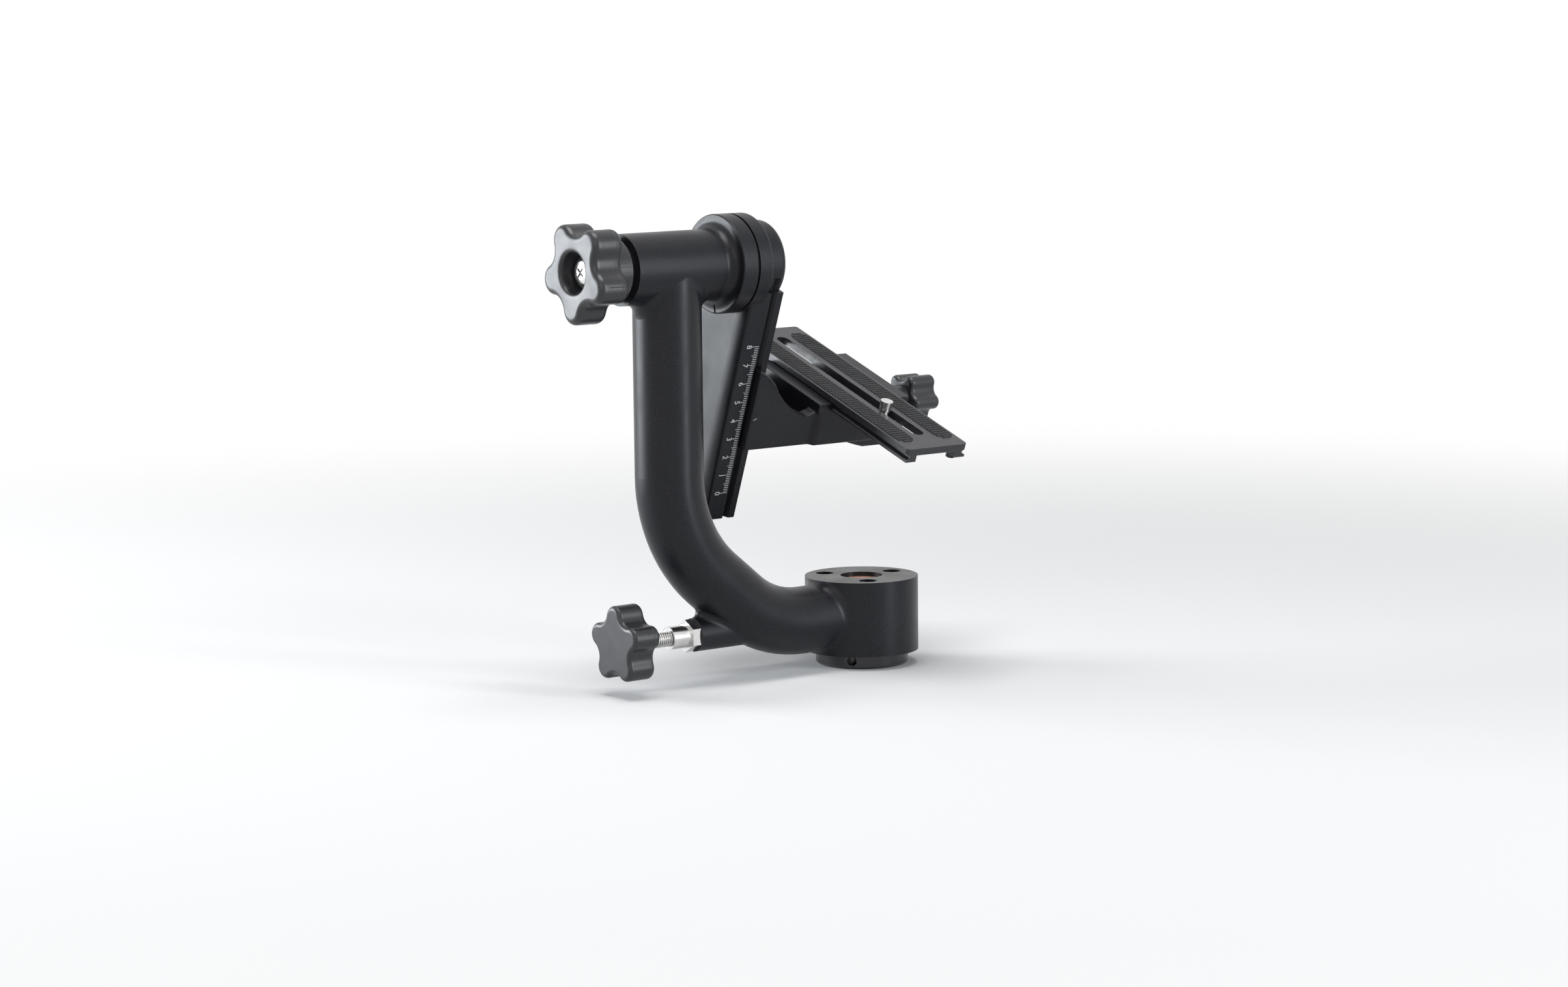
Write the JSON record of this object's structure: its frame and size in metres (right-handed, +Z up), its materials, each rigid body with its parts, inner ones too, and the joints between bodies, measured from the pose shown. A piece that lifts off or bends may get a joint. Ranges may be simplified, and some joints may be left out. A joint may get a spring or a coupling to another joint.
{
  "type": "gimbal tripod head",
  "caption": "Side-arm gimbal head for long lenses: bent arm on a panning hub, swinging arm with a height-adjustable bracket, dovetail clamp and sliding quick-release plate.",
  "frame": {"origin": "centre of the tripod thread's mouth, on the pan axis, at the foot of the base collar", "axes": "+Z up along the pan axis; +X from the upright of the arm towards the clamp knob, along the tilt axis; the lens points to -Y"},
  "size_m": [0.2439, 0.1381, 0.2316],
  "materials": {
    "black_alloy": "fine satin black coat over cast alloy",
    "plate_alloy": "satin black anodised alloy",
    "gloss_collar": "glossy black anodised",
    "knob_plastic": "satin black moulded",
    "rubber": "ribbed rubber",
    "copper_cap": "copper-coloured, satin",
    "brass": "turned",
    "friction_plastic": "matt",
    "black_steel": "blackened",
    "stainless": "bright turned stainless",
    "print_white": "white screen print",
    "steel": "ground steel"
  },
  "bodies": {
    "base": {"base_collar": "gloss_collar", "thread_insert": "steel", "pan_spindle": "steel", "lower_bearing_inner": "steel", "upper_bearing_inner": "steel", "spindle_nut": "steel", "spindle_cap": "copper_cap"},
    "arm": {"main_arm": "black_alloy", "lower_bearing_outer": "steel", "upper_bearing_outer": "steel", "bearing_retainer": "black_alloy", "bearing_spacer": "steel", "hub_screws": "black_steel", "pan_lock_bush": "stainless", "tilt_left_outer": "steel", "tilt_right_outer": "steel"},
    "pan_lock_slider": {"pan_lock_rod": "steel", "pan_lock_pad": "brass"},
    "pan_lock_knob": {"pan_lock_screw": "steel", "pan_lock_knob": "knob_plastic"},
    "swing": {"swing_arm": "black_alloy", "tilt_shaft": "steel", "tilt_left_inner": "steel", "tilt_right_inner": "steel", "tilt_spacer": "steel", "friction_disc": "friction_plastic", "shaft_nut": "black_steel", "knob_screw": "stainless"},
    "tilt_lock_collar": {"pressure_collar": "gloss_collar"},
    "tilt_lock_knob": {"tilt_lock_knob": "knob_plastic"},
    "carriage": {"carriage_bracket": "black_alloy"},
    "height_lock_slider": {"height_lock_pad": "brass"},
    "height_lock_knob": {"height_lock_screw": "steel", "height_lock_knob": "knob_plastic"},
    "clamp_jaw": {"clamp_jaw": "black_alloy", "guide_pin_front": "steel", "guide_pin_rear": "steel"},
    "clamp_knob": {"clamp_screw": "steel", "clamp_knob": "knob_plastic"},
    "plate": {"qr_plate": "plate_alloy", "rubber_strip_left": "rubber", "rubber_strip_right": "rubber", "stop_screw_front": "black_steel", "stop_screw_rear": "black_steel"},
    "camera_screw_slider": {"camera_washer": "black_steel"},
    "camera_screw": {"camera_screw": "stainless"}
  },
  "joints": [
    {"name": "pan", "type": "hinge", "parent": "base", "child": "arm", "pos_m": [0, 0, 0.0256], "axis": [0, 0, 1], "continuous": true},
    {"name": "pan_lock_travel", "type": "slide", "parent": "arm", "child": "pan_lock_slider", "axis": [-1, 0, 0], "range_m": [0, 0.00125]},
    {"name": "pan_lock_turn", "type": "hinge", "parent": "pan_lock_slider", "child": "pan_lock_knob", "pos_m": [-0.14, 0, 0.0256], "axis": [-1, 0, 0], "range_deg": [0, 363]},
    {"name": "tilt", "type": "hinge", "parent": "arm", "child": "swing", "pos_m": [0, 0, 0.2072], "axis": [1, 0, 0], "continuous": true},
    {"name": "tilt_lock_travel", "type": "slide", "parent": "swing", "child": "tilt_lock_collar", "axis": [-1, 0, 0], "range_m": [0, 0.00075]},
    {"name": "tilt_lock_turn", "type": "hinge", "parent": "tilt_lock_collar", "child": "tilt_lock_knob", "pos_m": [-0.168, 0, 0.2072], "axis": [-1, 0, 0], "range_deg": [0, 182]},
    {"name": "carriage_slide", "type": "slide", "parent": "swing", "child": "carriage", "axis": [0, -0.3453, 0.9385], "range_m": [-0.04, 0.04]},
    {"name": "height_lock_travel", "type": "slide", "parent": "carriage", "child": "height_lock_slider", "axis": [0, 0.9385, 0.3453], "range_m": [0, 0.0008]},
    {"name": "height_lock_turn", "type": "hinge", "parent": "height_lock_slider", "child": "height_lock_knob", "pos_m": [-0.06315, 0.05983, 0.15463], "axis": [0, 0.9385, 0.3453], "range_deg": [0, 363]},
    {"name": "clamp_travel", "type": "slide", "parent": "carriage", "child": "clamp_jaw", "axis": [1, 0, 0], "range_m": [0, 0.003]},
    {"name": "clamp_turn", "type": "hinge", "parent": "clamp_jaw", "child": "clamp_knob", "pos_m": [0.05, 0.02866, 0.12931], "axis": [1, 0, 0], "range_deg": [0, 1089]},
    {"name": "plate_slide", "type": "slide", "parent": "carriage", "child": "plate", "axis": [0, 0.9385, 0.3453], "range_m": [-0.02, 0.052]},
    {"name": "camera_screw_slide", "type": "slide", "parent": "plate", "child": "camera_screw_slider", "axis": [0, 0.9385, 0.3453], "range_m": [-0.022, 0.082]},
    {"name": "camera_screw_turn", "type": "hinge", "parent": "camera_screw_slider", "child": "camera_screw", "pos_m": [0, -0.01965, 0.13028], "axis": [0, -0.3453, 0.9385], "continuous": true}
  ],
  "couplings": [
    {"joint": "pan_lock_turn", "follows": "pan_lock_travel", "rad_per_m": 5026.5},
    {"joint": "tilt_lock_turn", "follows": "tilt_lock_travel", "rad_per_m": 4188.8},
    {"joint": "height_lock_turn", "follows": "height_lock_travel", "rad_per_m": 7854},
    {"joint": "clamp_turn", "follows": "clamp_travel", "rad_per_m": 6283.2}
  ]
}
